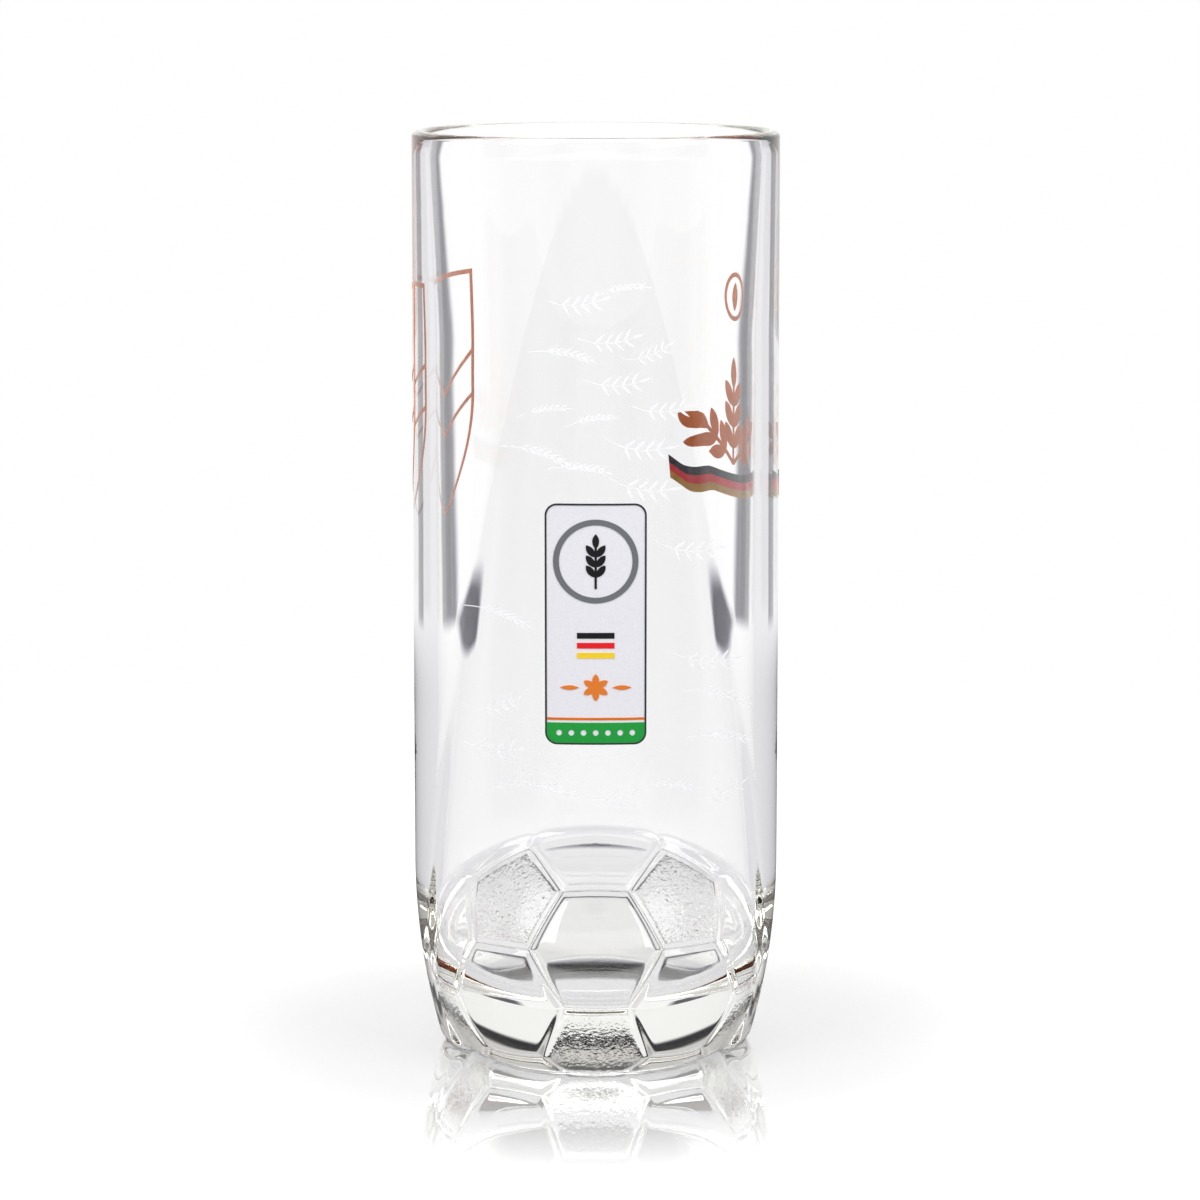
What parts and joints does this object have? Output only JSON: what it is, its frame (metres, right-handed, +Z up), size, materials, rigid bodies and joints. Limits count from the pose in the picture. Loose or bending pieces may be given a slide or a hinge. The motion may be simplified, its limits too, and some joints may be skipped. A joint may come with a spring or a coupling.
{
  "type": "beer glass",
  "caption": "Tall straight beer glass with a tapered front panel, a football fused into its thick foot, a fired front badge and copper side prints.",
  "frame": {"origin": "on the glass's axis, on the flat base that it stands on", "axes": "+Z up along the glass's axis; -Y is the front, with the panel, the badge and the football; +X to the right seen from the front"},
  "size_m": [0.0702, 0.0752, 0.176],
  "materials": {
    "clear_glass": "clear pressed soda-lime glass, fire polished",
    "pale_enamel": "fired glass enamel",
    "dark_enamel": "fired glass enamel",
    "grey_enamel": "fired glass enamel",
    "black_enamel": "fired glass enamel",
    "red_enamel": "fired glass enamel",
    "yellow_enamel": "fired glass enamel",
    "orange_enamel": "fired glass enamel",
    "green_enamel": "fired glass enamel",
    "copper_lustre": "fired copper lustre",
    "gold_lustre": "fired gold lustre"
  },
  "bodies": {
    "root": {"glass_body": "clear_glass", "badge_ground": "pale_enamel", "badge_border": "dark_enamel", "badge_ring": "grey_enamel", "badge_ear": "black_enamel", "badge_bar_black": "black_enamel", "badge_bar_red": "red_enamel", "badge_bar_gold": "yellow_enamel", "badge_ornament": "orange_enamel", "badge_rule": "copper_lustre", "badge_band": "green_enamel", "side_shield": "copper_lustre", "side_sprig": "copper_lustre", "ribbon_black": "black_enamel", "ribbon_red": "red_enamel", "ribbon_gold": "gold_lustre"}
  },
  "joints": []
}
